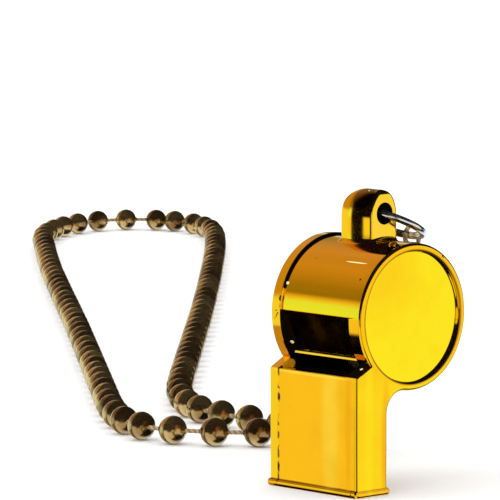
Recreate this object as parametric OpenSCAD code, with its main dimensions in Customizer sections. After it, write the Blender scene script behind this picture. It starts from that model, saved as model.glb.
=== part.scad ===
// Pea whistle on a bead necklace. The whistle stands on its mouth end, its ring leans back over
// the chamber, and the beaded string drops behind it and lies on the floor as one long loop.
// X runs along the chamber, Y runs to the back and Z runs up from the mouth end. Millimetres.

/* [Chamber] */
// Height of the whistle from the mouth end to the lug's top
total_h = 50.8; // [44:0.1:58]
// Width over the two flat sides
body_w = 21.5; // [18:0.1:26]
// Diameter of the round chamber and of the right side
chamber_d = 25.1; // [24.2:0.1:26.6]
// Thickness of the chamber wall
chamber_wall = 1.8; // [1.5:0.1:2.5]
// Thickness of the right side, moulded with the chamber wall
right_t = 2.8; // [2:0.1:3.5]
// Thickness of the left side cover
cover_t = 2.3; // [1.8:0.1:3]
// How far the cover's round edge stands out of the chamber wall
cover_step = 0.4; // [0.2:0.05:0.6]
// Diameter of the sunk panel in each side
panel_d = 22.4; // [16:0.1:23.6]
// Depth of the sunk panel
panel_depth = 0.7; // [0.4:0.1:1.4]

/* [Mouthpiece] */
// Distance from the chamber's axis to the front face
mouth_front = 13.25; // [12.9:0.05:15]
// Thickness of the mouthpiece from front to back
mouth_t = 7.3; // [6.5:0.1:8.5]
// Distance from the chamber's axis down to the front wall's top edge
mouth_drop = 9.3; // [8.6:0.05:10]
// Thickness of the front wall
front_wall = 1.6; // [1:0.1:2]
// Depth of the windway slot behind the front wall
windway = 1.5; // [1:0.1:2]
// Height of the sounding window between the front wall and the lip
window_h = 2.45; // [1.5:0.05:3.2]
// Height of the lip's flat edge
lip_h = 0.65; // [0.4:0.05:1]
// How far the lip's edge stands in from the chamber's round
lip_in = 0.75; // [0.5:0.05:0.9]
// Height of the top of the ramp above the chamber's axis
ramp_rise = 0.6; // [0:0.1:1.5]
// Slope of the sides' shoulders at the window, in degrees
notch_angle = 28.5; // [20:0.5:40]
// Radius of the hollow corner between the mouthpiece and the chamber
back_fillet = 3.6; // [2:0.1:4.5]
// Height of the tooth ridge round the mouth end
ridge_h = 1.2; // [0.6:0.1:2]
// How far the tooth ridge stands out
ridge_out = 0.4; // [0.2:0.05:0.8]

/* [Lug and ring] */
// Height of the lug above the chamber wall
lug_h = 8.55; // [8:0.05:11]
// Width of the lug along the chamber
lug_w = 7.5; // [6:0.1:8.4]
// Thickness of the lug from front to back
lug_t = 7; // [6:0.1:7.4]
// Radius of the lug's left top corner, seen from the front
lug_left = 3.2; // [2:0.1:3.6]
// Radius of the lug's right top corner, seen from the front
lug_round = 0.9; // [0.5:0.1:2]
// Diameter of the lug's hole
hole_d = 3.8; // [3.6:0.1:4]
// Distance from the lug's top down to the hole's axis
hole_drop = 4; // [3.5:0.1:5]
// Diameter of the ring's wire
ring_wire = 1.3; // [1:0.05:1.5]
// Diameter of the ring at the middle of its wire
ring_d = 12; // [11.4:0.1:14]
// Width of the slit where the ring's ends meet
ring_slit = 0.2; // [0.1:0.05:0.4]
// How far the ring leans back from upright, in degrees
ring_lean = 115; // [112:1:118]

/* [Pea] */
// Diameter of the pea
pea_d = 9; // [6:0.1:12]
// Gap between the pea and the chamber wall
pea_gap = 0.3; // [0.2:0.05:0.6]

/* [Bead string] */
// Diameter of the string
string_d = 0.8; // [0.6:0.05:1]
// Diameter of each bead
bead_d = 5.2; // [4.8:0.05:5.4]
// Number of beads on the left strand, up to the join
left_beads = 59; // [50:1:60]
// Number of beads on the right strand, up to the join
right_beads = 55; // [50:1:56]
// Length of string from the ring to the first bead of each strand
end_run = 12.5; // [11.5:0.1:13.5]
// Spacing of the two beads that hide the string's join
join_gap = 5.6; // [5.55:0.05:6]
// Distance from the ring's wire to the string that goes round it
wrap_r = 1.7; // [1.6:0.05:1.9]

/* [Hidden] */
$fn = 96;

gold = "gold";
dark_gold = "darkgoldenrod";
silver = "silver";
cork = "burlywood";
tan_thread = "peru";

// How far a cutting shape runs past what it cuts
past = 1;
// How far the chamber wall is rooted in the right side
wall_root = 0.5;

chamber_r = chamber_d / 2;
bore_r = chamber_r - chamber_wall;
axis_h = total_h - lug_h - chamber_r;
mouth_h = axis_h - mouth_drop;
// The chamber's axis lies so that the whistle's box is centred on the origin
chamber_y = (mouth_front + ridge_out - chamber_r - cover_step) / 2;
front_y = chamber_y - mouth_front;
back_y = front_y + mouth_t;
right_x = body_w / 2;
left_x = -body_w / 2;
right_in = right_x - right_t;
cover_in = left_x + cover_t;

lip_z = mouth_h + window_h;
lip_top = lip_z + lip_h;
lip_y = chamber_y - sqrt(chamber_r * chamber_r - pow(axis_h - lip_top, 2)) + lip_in;
ramp_z = axis_h + ramp_rise;
ramp_y = chamber_y - sqrt(chamber_r * chamber_r - ramp_rise * ramp_rise);

hole_z = total_h - hole_drop;
lug_base = axis_h + (bore_r + chamber_r) / 2;

// The ring's wire sags evenly to both sides of the hole's axis over the lug's width
ring_r = ring_d / 2;
ring_sag = ring_r - sqrt(ring_r * ring_r - lug_w * lug_w / 4);
ring_reach = ring_r - ring_sag / 2;
ring_out = [0, sin(ring_lean), cos(ring_lean)];
ring_up = [0, -cos(ring_lean), sin(ring_lean)];
ring_end = [0, chamber_y, hole_z] + (ring_reach + ring_r) * ring_out;

pea_z = axis_h - (bore_r - pea_d / 2 - pea_gap);

// Route of the string. The floor points are [right, away] in a frame turned to the loop's run.
bead_r = bead_d / 2;
lay_angle = 47;
// Turn of the string round the ring's wire, in degrees, and its straight run off the wire
wrap_turn = [4, 45, 90];
wrap_run = 1;
left_drop = [[-4, 15.5, 38.5], [-13, 18.5, 32], [-22, 19, 22], [-30, 18.5, 11]];
left_floor = [[-13, 42], [-24, 43], [-34, 46], [-41, 53], [-45, 68], [-48, 100], [-56, 195],
              [-65, 295], [-69, 352]];
neck_floor = [[-70, 376], [-66, 396], [-58, 409], [-47, 413], [-36, 407], [-30, 393]];
right_floor = [[-28, 372], [-28, 320], [-30, 220], [-33, 120], [-33, 90], [-29, 72], [-20, 60],
               [-10, 50], [-6, 41]];
right_drop = [[-30, 26, 7], [-21, 24, 15], [-10, 20, 24.5], [-1, 16.5, 33.5]];

function on_floor(p) = [
    p[0] * cos(lay_angle) - p[1] * sin(lay_angle),
    p[0] * sin(lay_angle) + p[1] * cos(lay_angle),
    bead_r];
function wrap_point(turn, side) =
    ring_end + wrap_r * (side * sin(turn) * ring_up - cos(turn) * ring_out);
function wrap_lead(side) = wrap_point(90, side) + wrap_run * ring_out;

route = concat(
    [for (turn = wrap_turn) wrap_point(turn, 1)], [wrap_lead(1)], left_drop,
    [for (p = concat(left_floor, neck_floor, right_floor)) on_floor(p)],
    right_drop, [wrap_lead(-1)], [for (i = [2:-1:0]) wrap_point(wrap_turn[i], -1)]);

// Smooth curve through the route's points, with two rings to each stretch
last = len(route) - 1;
function before(i) = i > 0 ? route[i - 1] : 2 * route[0] - route[1];
function after(i) = i < last ? route[i + 1] : 2 * route[last] - route[last - 1];
function stretch(a, b, c, d, t) =
    b + (t / 2) * (c - a + t * (2 * a - 5 * b + 4 * c - d + t * (3 * b - a - 3 * c + d)));
function clear_of_floor(p) = [p[0], p[1], max(p[2], bead_r)];
path = [
    for (i = [0:last - 1], t = [0, 0.5])
        clear_of_floor(stretch(before(i), route[i], route[i + 1], after(i + 1), t)),
    route[last]];
rings = len(path);

// Length along the string at each ring, and the point at a given length
path_len = [for (i = 0, s = 0; i < rings; s = s + norm(path[min(i + 1, rings - 1)] - path[i]), i = i + 1) s];
string_len = path_len[rings - 1];
function stretch_at(s, i = 0) = i >= rings - 2 || path_len[i + 1] >= s ? i : stretch_at(s, i + 1);
function along(s) =
    let (i = stretch_at(s), f = (s - path_len[i]) / (path_len[i + 1] - path_len[i]))
    path[i] + f * (path[i + 1] - path[i]);

bead_pitch = (string_len - 2 * end_run - join_gap) / (left_beads + right_beads - 2);
function left_bead(i) = along(end_run + i * bead_pitch);
function right_bead(i) = along(string_len - end_run - i * bead_pitch);

// Beads of each strand that hang clear of the floor, and those that lie in the bend of the loop
drop_beads = 6;
bend_beads = 9;

// Frames that carry the string's round section along the path without twist
function unit(v) = v / norm(v);
heading = [for (i = [0:rings - 1]) unit(path[min(i + 1, rings - 1)] - path[max(i - 1, 0)])];
side_of = [
    for (i = 0, v = [1, 0, 0]; i < rings;
         i = i + 1, v = i < rings ? unit(v - (v * heading[i]) * heading[i]) : v) v];
string_sides = 8;

// Carries an outline drawn as [back, up] from one X to another
module slab(from_x, to_x) {
    translate([from_x, 0, 0])
        rotate([90, 0, 90])
            linear_extrude(to_x - from_x)
                children();
}

// The mouthpiece's outline, run up into the round chamber with a hollow corner
module mouth_outline(shoulder) {
    corner_y = back_y + back_fillet;
    corner_z = axis_h - sqrt(pow(chamber_r + back_fillet, 2) - pow(corner_y - chamber_y, 2));
    meet = chamber_r / (chamber_r + back_fillet);
    difference() {
        polygon([
            [front_y, 0], [front_y, mouth_h], shoulder, [chamber_y, axis_h],
            [chamber_y + (corner_y - chamber_y) * meet, axis_h + (corner_z - axis_h) * meet],
            [corner_y, corner_z], [back_y, corner_z], [back_y, 0]]);
        translate([corner_y, corner_z])
            circle(back_fillet);
    }
}

// Outline of a whole side: the round part, the mouthpiece and the sloping shoulder between them
module side_outline(round_r) {
    shoulder_run = mouth_front - chamber_r * 0.8;
    translate([chamber_y, axis_h])
        circle(round_r);
    mouth_outline([front_y + shoulder_run, mouth_h + shoulder_run * tan(notch_angle)]);
}

// Outline between the sides: chamber wall, mouthpiece, windway, window, lip and the ramp above it
module core_outline() {
    difference() {
        union() {
            translate([chamber_y, axis_h])
                circle(chamber_r);
            mouth_outline([back_y, mouth_h]);
        }
        polygon([
            [ramp_y, ramp_z], [lip_y, lip_top], [lip_y, lip_z], [front_y - past, lip_z],
            [front_y - past, ramp_z]]);
        translate([chamber_y, axis_h])
            circle(bore_r);
        translate([front_y + front_wall, -past])
            square([windway, mouth_h + 2 * past]);
        translate([front_y - past, mouth_h])
            square([mouth_front + past - bore_r * 0.4, window_h]);
    }
}

module tooth_ridge(from_x, to_x) {
    translate([from_x, front_y - ridge_out, 0])
        cube([to_x - from_x, mouth_t + 2 * ridge_out, ridge_h]);
}

module windway_cut() {
    translate([cover_in, front_y + front_wall, -past])
        cube([right_in - cover_in, windway, ridge_h + 2 * past]);
}

// Sunk round panel on a side's outer face
module panel_cut(face_x, inward) {
    translate([face_x, chamber_y, axis_h])
        rotate([0, 90 * inward, 0])
            translate([0, 0, -past])
                cylinder(h = panel_depth + past, r = panel_d / 2);
}

// Outline with a square foot and rounded top corners
module rounded_top(w, h, left_r, right_r) {
    translate([-w / 2, 0])
        square([left_r, h - left_r]);
    translate([w / 2 - right_r, 0])
        square([right_r, h - right_r]);
    if (w > left_r + right_r)
        translate([-w / 2 + left_r, 0])
            square([w - left_r - right_r, h]);
    translate([-w / 2 + left_r, h - left_r])
        circle(left_r);
    translate([w / 2 - right_r, h - right_r])
        circle(right_r);
}

module lug() {
    rise = total_h - lug_base;
    translate([0, chamber_y, lug_base])
        intersection() {
            translate([0, lug_t / 2, 0])
                rotate([90, 0, 0])
                    linear_extrude(lug_t)
                        rounded_top(lug_w, rise, lug_left, lug_round);
            translate([-lug_w / 2, 0, 0])
                rotate([90, 0, 90])
                    linear_extrude(lug_w)
                        rounded_top(lug_t, rise, lug_t / 2, lug_t / 2);
        }
}

module whistle_body() {
    color(gold)
        difference() {
            union() {
                slab(right_in, right_x) side_outline(chamber_r);
                slab(cover_in, right_in + wall_root) core_outline();
                lug();
                tooth_ridge(cover_in, right_x + ridge_out);
            }
            panel_cut(right_x, -1);
            windway_cut();
            translate([-lug_w / 2 - past, chamber_y, hole_z])
                rotate([0, 90, 0])
                    cylinder(h = lug_w + 2 * past, r = hole_d / 2);
        }
}

module side_cover() {
    color(gold)
        difference() {
            union() {
                slab(left_x, cover_in) side_outline(chamber_r + cover_step);
                tooth_ridge(left_x - ridge_out, cover_in);
            }
            panel_cut(left_x, 1);
        }
}

module pea() {
    color(cork)
        translate([0, chamber_y, pea_z])
            sphere(pea_d / 2);
}

module jump_ring() {
    color(silver)
        translate([0, chamber_y, hole_z])
            rotate([90 - ring_lean, 0, 0])
                translate([0, ring_reach, 0])
                    difference() {
                        rotate_extrude()
                            translate([ring_r, 0])
                                circle(ring_wire / 2);
                        translate([-ring_r - ring_wire, -ring_slit / 2, -ring_wire])
                            cube([2 * ring_wire, ring_slit, 2 * ring_wire]);
                    }
}

module string() {
    points = [
        for (i = [0:rings - 1], k = [0:string_sides - 1])
            let (v = unit(side_of[i] - (side_of[i] * heading[i]) * heading[i]),
                 w = cross(heading[i], v), a = 360 * k / string_sides)
            path[i] + string_d / 2 * (cos(a) * v + sin(a) * w)];
    walls = [
        for (i = [0:rings - 2], k = [0:string_sides - 1])
            let (a = i * string_sides + k, b = i * string_sides + (k + 1) % string_sides)
            each [[a, a + string_sides, b], [b, a + string_sides, b + string_sides]]];
    first_cap = [for (k = [0:string_sides - 1]) k];
    last_cap = [for (k = [string_sides - 1:-1:0]) (rings - 1) * string_sides + k];
    color(tan_thread)
        polyhedron(points, concat(walls, [first_cap, last_cap]));
}

module bead(place) {
    translate(place)
        sphere(bead_r);
}

module left_drop_beads() {
    color(dark_gold)
        for (i = [0:drop_beads - 1])
            bead(left_bead(i));
}

module left_strand_beads() {
    color(dark_gold)
        for (i = [drop_beads:left_beads - bend_beads - 2])
            bead(left_bead(i));
}

module neck_beads() {
    color(dark_gold) {
        for (i = [left_beads - bend_beads - 1:left_beads - 2])
            bead(left_bead(i));
        for (i = [right_beads - bend_beads - 1:right_beads - 2])
            bead(right_bead(i));
    }
}

module join_beads() {
    color(dark_gold) {
        bead(left_bead(left_beads - 1));
        bead(right_bead(right_beads - 1));
    }
}

module right_strand_beads() {
    color(dark_gold)
        for (i = [drop_beads:right_beads - bend_beads - 2])
            bead(right_bead(i));
}

module right_drop_beads() {
    color(dark_gold)
        for (i = [0:drop_beads - 1])
            bead(right_bead(i));
}

whistle_body();
side_cover();
pea();
jump_ring();
string();
left_drop_beads();
left_strand_beads();
neck_beads();
join_beads();
right_strand_beads();
right_drop_beads();
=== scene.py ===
"""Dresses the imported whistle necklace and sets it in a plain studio."""
import math
from types import SimpleNamespace

import bpy
from mathutils import Matrix, Vector


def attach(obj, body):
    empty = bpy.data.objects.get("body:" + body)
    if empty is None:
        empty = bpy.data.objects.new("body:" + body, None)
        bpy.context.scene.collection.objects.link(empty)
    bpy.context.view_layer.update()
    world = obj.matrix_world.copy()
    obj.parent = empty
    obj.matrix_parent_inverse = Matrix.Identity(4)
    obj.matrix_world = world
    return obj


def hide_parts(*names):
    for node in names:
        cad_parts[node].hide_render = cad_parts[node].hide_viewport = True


bl_info = {
    "name": "Whistle necklace",
    "version": (1, 0, 0),
    "blender": (4, 5, 0),
    "location": "3D View > Sidebar > Whistle",
    "description": "Dresses a pea whistle on a bead necklace and sets it in a plain studio",
    "category": "Object",
}

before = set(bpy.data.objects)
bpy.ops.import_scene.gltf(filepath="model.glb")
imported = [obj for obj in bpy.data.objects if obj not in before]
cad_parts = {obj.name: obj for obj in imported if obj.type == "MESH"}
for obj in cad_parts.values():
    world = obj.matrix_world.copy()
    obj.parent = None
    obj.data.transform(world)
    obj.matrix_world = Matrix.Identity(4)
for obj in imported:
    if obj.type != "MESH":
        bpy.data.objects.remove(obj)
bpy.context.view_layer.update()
# How many beads each strand has up to the join, hanging and in the bend
LEFT_BEADS, RIGHT_BEADS = 59, 55
DROP_BEADS, BEND_BEADS = 6, 9
BEAD_NODES = [
    "left_drop_beads",
    "left_strand_beads",
    "neck_beads",
    "join_beads",
    "right_strand_beads",
    "right_drop_beads",
]

MM_PER_M = 1000
# Points nearer than this are one, a face nearer to a plane lies in it, and cutters reach this far past
MERGE, FLUSH, PAST = 1e-6, 1e-5, 0.001
# A normal with this much of an axis faces along it, and with less than the second lies across it
FACING, ACROSS = 0.9, 0.1
# Any size for a primitive whose points are then put in place
START_SIZE = 0.01
# Steps of the curves: chamber, bore, hollow back corner, sunk panel, drilled hole and lug
ROUND_STEPS, BORE_STEPS, HOLLOW_STEPS, PANEL_STEPS, HOLE_STEPS, LUG_STEPS = 240, 90, 24, 192, 160, 120
# The mouthpiece's edge turns into the round rim from this height on, over this height
RIM_FROM, RIM_OVER = 0.010, 0.010
# Small edges: foot of the sunk panel's wall and top of the front wall, and half the glue seam
PANEL_FOOT, WALL_EDGE, SEAM_HALF = 0.00012, 0.0002, 0.00022
SMOOTH_ANGLE = math.radians(35)
# The loop's turn on the floor, and steps between its points for the beads' spacing and for the string
LOOP_TURN, SPACING_STEPS, STRING_STEPS = math.radians(47), 2, 8

# Where the camera stands, how it is turned and its lens, in millimetres
CAMERA_AT = (0.6048, -0.59342, 0.13366)
CAMERA_TURN = (math.radians(83.71), 0, math.radians(46.9))
CAMERA_SENSOR, CAMERA_LENS = 36, 360
CAMERA_NEAR, CAMERA_FAR = 0.01, 50
# Soft light: where it stands, where it points, its size and its power, and the even light all round
KEY_AT, KEY_AIM = Vector((-0.5, -0.9, 1.5)), Vector((0, 0, 0.02))
KEY_SIZE, KEY_POWER, EVEN_LIGHT = 1.2, 5, 1.3
FLOOR_SIZE = 12
# The wall that reflections see at the left: height of the direction, from down to up, and colour
WALL_TONES = (
    (-1.0, (0, 0, 0)),
    (-0.37, (0, 0, 0)),
    (-0.31, (1, 1, 1)),
    (-0.09, (1, 1, 1)),
    (-0.03, (0.86, 1.5, 2.0)),
    (0.14, (0.82, 1.45, 2.0)),
    (0.2, (0.92, 1.0, 1.0)),
    (0.24, (0.8, 0.7, 0.5)),
    (0.3, (0.32, 0.27, 0.1)),
    (0.45, (0.38, 0.3, 0.12)),
    (0.68, (0.64, 0.42, 0.3)),
    (1.0, (0.05, 0.04, 0.03)),
)

# Painted reflections and highlights: spots where the lacquer is painted paler or darker to stand in for
# reflected light and dark, and a more orange upper part of the right panel: centre and radii in mm, fade,
# share and tone
SHADES = (
    ((4.2, -12.75, 12), (3.0, 1.2, 19), 0.7, 0.6, "pale"),
    ((8.6, -12.75, 12), (1.0, 1.2, 19), 0.7, 0.7, "amber"),
    ((10.75, -10.1, 10), (0.8, 1.5, 22), 0.7, 0.7, "yellow"),
    ((10.75, -6.1, 8), (0.8, 1.5, 15), 0.7, 0.85, "amber"),
    ((0, -9.8, 23.2), (9, 1.2, 0.5), 0.2, 0.8, "pale"),
    ((0, -12.9, 20.05), (12, 0.5, 0.4), 0.5, 0.9, "pale"),
    ((9.75, -6, 37), (2, 13, 12), 1.0, 0.5, "orange"),
    ((3.75, 0.35, 46), (0.7, 5, 6), 0.4, 0.7, "pale"),
    # Painted dark reflection on the lug's top
    ((0.9, -1.3, 49.3), (2.9, 3.4, 2.6), 0.35, 0.93, "dark"),
)
# Glue that ran out of the seam, and nicks, with one painted shade in the gap of the tooth ridge at the
# front's right corner: centre and radii in mm
GLUE_AND_SHADE_MARKS = (
    ((-8.5, -12.3, 32.4), (0.6, 0.7, 0.75)),
    ((-9.35, -12.6, 30.1), (0.45, 0.4, 0.2)),
    ((-9.0, -12.6, 29.7), (0.35, 0.4, 0.25)),
    ((-9.45, -12.6, 29.3), (0.35, 0.4, 0.28)),
    ((-9.9, -12.6, 28.9), (0.35, 0.4, 0.28)),
    ((-4.52, -7.71, 39.32), (0.32, 0.4, 0.4)),
    ((8.5, -10.05, 36.7), (0.22, 0.3, 0.3)),
    ((10.75, 7.54, 39.75), (0.5, 0.5, 0.6)),
    ((9.7, 11.2, 28.3), (0.5, 0.9, 0.3)),
    ((-8.2, -12.75, 17.5), (0.5, 0.3, 0.9)),
    ((-8.3, -12.75, 15.4), (0.4, 0.3, 1.1)),
    ((-8.4, -12.75, 3.4), (0.4, 0.3, 1.4)),
    # Painted shade in the gap of the tooth ridge at the front's right corner
    ((9.6, -13.2, 0.6), (0.2, 0.6, 0.9)),
)
# Pale cream spots on the lacquer, one drawn out into a thin line along the chamber wall: centre and radii in
# mm
CREAM_SPOTS = (
    ((-8.1, -11.1, 34.85), (0.45, 0.5, 0.3)),
    ((5.4, -7.87, 39.19), (3.0, 0.14, 0.14)),
    ((-7.9, -10.3, 24.66), (0.6, 0.4, 0.35)),
    ((1.5, -2.45, 46.7), (0.35, 0.4, 0.35)),
    ((-1.6, -1.1, 50.1), (0.2, 0.25, 0.25)),
    ((1.0, -0.6, 50.5), (0.2, 0.25, 0.25)),
)
# On the bare plastic: a painted reflection at the window's left end, lacquer on the seam, and a fleck at the
# right
WINDOW_REFLECTION = ((-8.45, -10.5, 20.9), (0.8, 1.7, 0.95), 0.15)
RUN_OUT = ((-8.45, -12.2, 32.3), (0.5, 1.2, 2.0), 0.1)
FLECK = ((9.35, -10.56, 21.67), (0.35, 0.35, 0.3))


def length(label, words, value):
    """A size that the user can change, in metres."""
    return bpy.props.FloatProperty(name=label, description=words, default=value, min=0.0, precision=5,
                                   unit="LENGTH")


def tilt(label, words, degrees):
    """An angle that the user can change."""
    return bpy.props.FloatProperty(name=label, description=words, default=math.radians(degrees),
                                   subtype="ANGLE")


def tint(label, words, value):
    """A colour that the user can change."""
    return bpy.props.FloatVectorProperty(name=label, description=words, default=value, size=3, min=0.0,
                                         max=1.0, subtype="COLOR")


class WhistleSizes(bpy.types.PropertyGroup):
    """Sizes of the whistle, as in the part's source, and of its rounded edges"""
    total_h: length("Height", "From the mouth end to the top of the lug", 0.0508)
    body_w: length("Width", "Over the two flat sides", 0.0215)
    chamber_d: length("Chamber diameter", "Round chamber and the right side", 0.0251)
    chamber_wall: length("Chamber wall", "Thickness of the chamber wall", 0.0018)
    wall_root: length("Wall root", "How far the chamber wall is rooted in the right side", 0.0005)
    right_t: length("Right side", "Thickness of the side moulded with the wall", 0.0028)
    cover_t: length("Left cover", "Thickness of the glued side", 0.0023)
    cover_step: length("Cover step", "How far the cover's round edge stands out", 0.0004)
    panel_d: length("Panel diameter", "Sunk panel in each side", 0.0224)
    panel_depth: length("Panel depth", "Depth of the sunk panel", 0.0007)
    mouth_front: length("Front reach", "From the chamber's axis to the front face", 0.01325)
    mouth_t: length("Mouthpiece thickness", "From front to back", 0.0073)
    mouth_drop: length("Front edge drop", "From the chamber's axis down to the front wall's edge", 0.0093)
    front_wall: length("Front wall", "Thickness of the front wall", 0.0016)
    windway: length("Windway", "Depth of the slot behind the front wall", 0.0015)
    window_h: length("Window height", "Between the front wall and the lip", 0.00245)
    lip_h: length("Lip height", "Height of the lip's flat edge", 0.00065)
    lip_in: length("Lip step", "How far the lip stands in from the chamber's round", 0.00075)
    ramp_rise: length("Ramp top", "Top of the ramp above the chamber's axis", 0.0006)
    notch_angle: tilt("Shoulder slope", "Slope of the shoulders", 28.5)
    back_fillet: length("Back corner", "Radius between the mouthpiece and the chamber", 0.0036)
    ridge_h: length("Ridge height", "Tooth ridge round the mouth end", 0.0012)
    ridge_out: length("Ridge stand-out", "How far the tooth ridge stands out", 0.0004)
    lug_h: length("Lug height", "Above the chamber wall", 0.00855)
    lug_w: length("Lug width", "Along the chamber", 0.0075)
    lug_t: length("Lug thickness", "From front to back", 0.007)
    lug_left: length("Lug's left corner", "Radius of its left top corner, seen from the front", 0.0032)
    lug_round: length("Lug's right corner", "Radius of its right top corner, seen from the front", 0.0009)
    lug_edge: length("Lug edges", "Radius of the lug's upright edges", 0.0006)
    lug_crown: length("Lug crown", "Height of the lug's arch, seen from the side", 0.0048)
    lug_bow: length("Lug bow", "How much thinner the lug is at its right end, on each face", 0.00038)
    lug_turn: length("Lug turn", "How much thinner the lug is at its left end, on each face", 0.00022)
    lug_foot: length("Lug foot", "Radius between the lug and the chamber wall", 0.0008)
    hole_d: length("Hole diameter", "Hole in the lug", 0.0038)
    hole_drop: length("Hole drop", "From the lug's top to the hole's axis", 0.004)
    round_rim: length("Right rim", "Radius of the right side's round edge", 0.0005)
    cover_rim: length("Cover rim", "Radius of the cover's round edge", 0.0003)
    panel_edge: length("Panel edge", "Radius of the rim's inner edge round the sunk panel", 0.0003)
    mouth_edge: length("Mouthpiece edges", "Radius of the mouthpiece's outer edges", 0.00065)
    cover_draft: length("Cover draft", "How far the cover's round edge tapers", 0.0001)


class NecklaceSizes(bpy.types.PropertyGroup):
    """Sizes of the string, its beads and the ring, as in the part's source"""
    string_d: length("String diameter", "Thickness of the string", 0.0008)
    string_len: length("String length", "Closed length of the string", 0.9142)
    bead_d: length("Bead diameter", "Each bead", 0.0052)
    end_run: length("End run", "From the ring to the first bead of each strand", 0.0125)
    join_gap: length("Join gap", "Spacing of the two beads that hide the string's join", 0.0056)
    ring_d: length("Ring diameter", "At the middle of the wire", 0.012)
    ring_lean: tilt("Ring lean", "Back from upright", 115)
    wrap_r: length("String turn", "From the ring's wire to the string round it", 0.0017)


class Finishes(bpy.types.PropertyGroup):
    """Colours of the finishes"""
    # Yellow gold paints the reflection on faces turned right and in light stripes; orange gold is the
    # lacquer's main colour
    yellow_gold: tint("Yellow gold", "Painted reflection on faces turned right, and light stripes", (0.985, 0.79, 0.012))
    orange_gold: tint("Orange gold", "Lacquer's main colour, away from the painted yellow reflection", (0.98, 0.515, 0.008))
    # Amber and pale gold are mostly painted reflections and highlights; amber also tints the tooth ridge
    amber: tint("Amber", "Darker orange of painted reflections and of the tooth ridge", (0.90, 0.40, 0.006))
    pale_gold: tint("Pale gold", "Painted highlights and lighter reflections", (0.99, 0.70, 0.05))
    # The glue colour also paints the shade line above the tooth ridge and the dark reflection on the lug's
    # top
    glue: tint("Glue", "Dirt in the glue seam and in nicks, and painted shade and dark reflections", (0.08, 0.03, 0.005))
    # Painted shade: a dark line along the rim's inner edge round the sunk panel
    rim_shade: tint("Rim shade", "Thin line along the rim round the panel", (0.28, 0.09, 0.004))
    # Bare plastic is made near-black as painted shade inside the whistle
    bare: tint("Bare plastic", "Insides that the lacquer doesn't reach", (0.004, 0.0025, 0.001))
    dust: tint("Dust", "Pale cream spots on the lacquer", (0.95, 0.80, 0.45))
    gold_speck: tint("Gold specks", "Fine dirt on the whistle", (0.12, 0.05, 0.01))
    bead_gold: tint("Bead gold", "Lacquer of the beads", (0.66, 0.44, 0.18))
    bead_brown: tint("Bead brown", "Darker beads", (0.27, 0.15, 0.055))
    bead_speck: tint("Bead specks", "Fine dirt on the beads", (0.05, 0.03, 0.015))
    wire: tint("Wire", "Ring of bright wire", (0.78, 0.78, 0.80))
    wire_speck: tint("Wire specks", "Dull spots on the wire", (0.25, 0.24, 0.23))
    thread: tint("Thread", "String between the beads", (0.47, 0.33, 0.17))
    # Darker than cork's own tan, as painted shade inside the whistle
    cork: tint("Cork", "The pea", (0.16, 0.09, 0.04))
    floor: tint("Floor", "Studio floor", (0.93, 0.93, 0.93))


def deselect():
    if bpy.context.object and bpy.context.object.mode != "OBJECT":
        bpy.ops.object.mode_set(mode="OBJECT")
    bpy.ops.object.select_all(action="DESELECT")


def make_active(obj):
    deselect()
    obj.select_set(True)
    bpy.context.view_layer.objects.active = obj


def named(obj, name):
    obj.name = name
    obj.data.name = name
    return obj


def place_applied():
    """The active object, with its place, turn and scale put into its mesh."""
    bpy.ops.object.transform_apply(location=True, rotation=True, scale=True)
    return bpy.context.object


def apply_modifier(obj, name, kind, **settings):
    make_active(obj)
    mod = obj.modifiers.new(name, kind)
    for key, value in settings.items():
        setattr(mod, key, value)
    bpy.ops.object.modifier_apply(modifier=mod.name)


def outward(obj):
    """Merges doubles and turns all faces outwards."""
    make_active(obj)
    bpy.ops.object.mode_set(mode="EDIT")
    bpy.ops.mesh.select_all(action="SELECT")
    bpy.ops.mesh.remove_doubles(threshold=MERGE)
    bpy.ops.mesh.normals_make_consistent(inside=False)
    bpy.ops.object.mode_set(mode="OBJECT")
    return obj


def slab(name, points, from_x, to_x):
    """A closed outline of (back, up) points, extruded from one X to another."""
    deselect()
    bpy.ops.mesh.primitive_circle_add(vertices=len(points), radius=START_SIZE, fill_type="NGON")
    obj = named(bpy.context.object, name)
    for vertex, (back, up) in zip(obj.data.vertices, points):
        vertex.co = (from_x, back, up)
    bpy.ops.object.mode_set(mode="EDIT")
    bpy.ops.mesh.select_all(action="SELECT")
    bpy.ops.mesh.extrude_region_move(TRANSFORM_OT_translate={"value": (to_x - from_x, 0, 0)})
    bpy.ops.object.mode_set(mode="OBJECT")
    return outward(obj)


def bevel_edges(obj, chosen, width, segments):
    """Rounds the edges that a test of their two ends picks."""
    make_active(obj)
    mesh = obj.data
    for items in (mesh.vertices, mesh.edges, mesh.polygons):
        items.foreach_set("select", [False] * len(items))
    picked = [edge for edge in mesh.edges if chosen(*(mesh.vertices[i].co for i in edge.vertices))]
    if not picked:
        raise RuntimeError(f"no edge of {obj.name} was chosen to be rounded")
    for edge in picked:
        edge.select = True
    bpy.context.tool_settings.mesh_select_mode = (False, True, False)
    bpy.ops.object.mode_set(mode="EDIT")
    bpy.ops.mesh.bevel(offset=width, segments=segments, profile=0.5, affect="EDGES", clamp_overlap=True)
    bpy.ops.object.mode_set(mode="OBJECT")


def combine(obj, other, operation):
    """Takes another solid away from the object, or adds it, and deletes the other."""
    apply_modifier(obj, "Combine", "BOOLEAN", operation=operation, solver="EXACT", object=other)
    bpy.data.objects.remove(other)


def fused(name, pieces):
    """Makes one closed solid of solids that touch or overlap."""
    obj = pieces[0]
    for piece in pieces[1:]:
        combine(obj, piece, "UNION")
    return outward(named(obj, name))


def joined(name, pieces):
    """Makes one object of loose pieces."""
    deselect()
    for piece in pieces:
        piece.select_set(True)
    bpy.context.view_layer.objects.active = pieces[0]
    bpy.ops.object.join()
    return named(bpy.context.object, name)


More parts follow.
